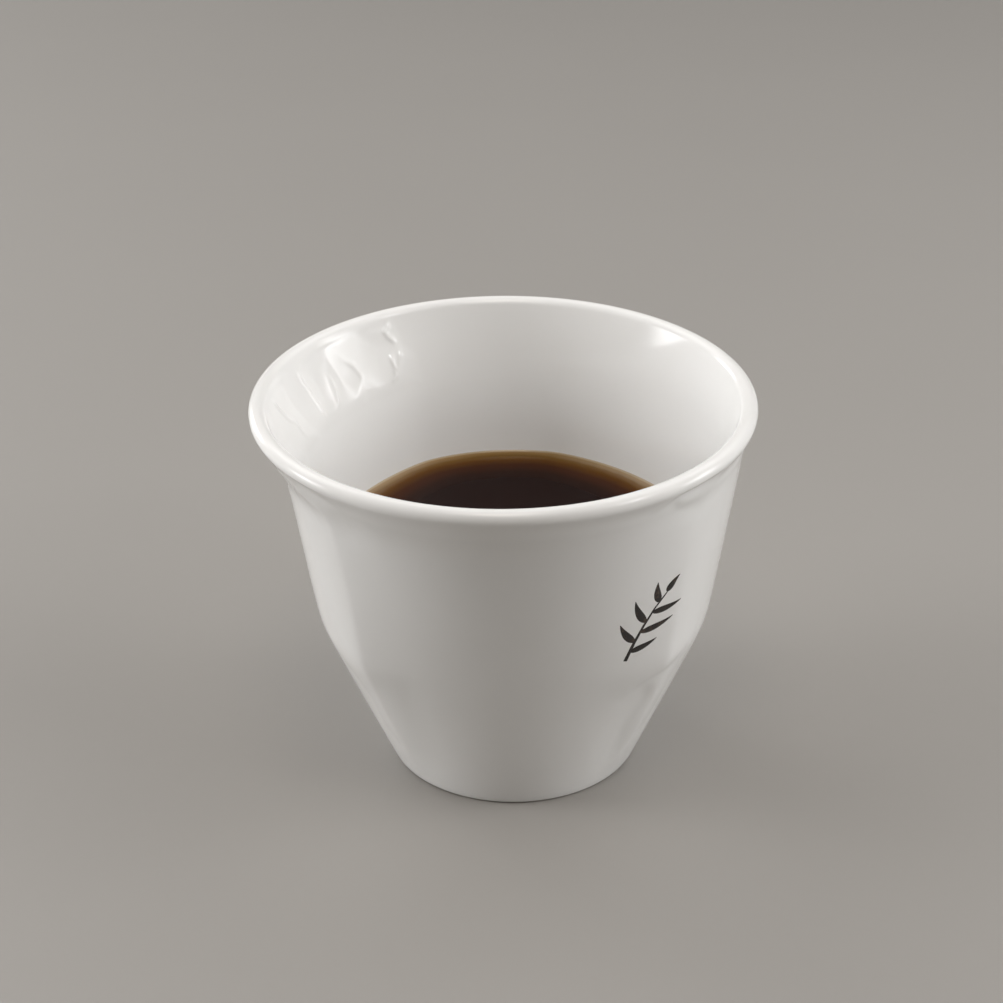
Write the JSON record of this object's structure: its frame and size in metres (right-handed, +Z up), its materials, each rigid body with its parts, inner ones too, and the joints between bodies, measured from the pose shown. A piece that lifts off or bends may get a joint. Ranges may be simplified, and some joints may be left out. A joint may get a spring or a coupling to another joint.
{
  "type": "espresso shot",
  "caption": "Black coffee in a small handleless porcelain espresso cup with a flared round lip and softly pressed sides.",
  "frame": {"origin": "on the table under the centre of the round rim", "axes": "+Z up along the rim's axis, -Y out of the front that the picture shows"},
  "size_m": [0.07, 0.07, 0.056],
  "materials": {
    "porcelain": "white glazed porcelain, glossy inside and out",
    "black_coffee": "clear dark brown liquid with a still, glossy surface"
  },
  "bodies": {
    "root": {"cup": "porcelain", "coffee": "black_coffee"}
  },
  "joints": []
}
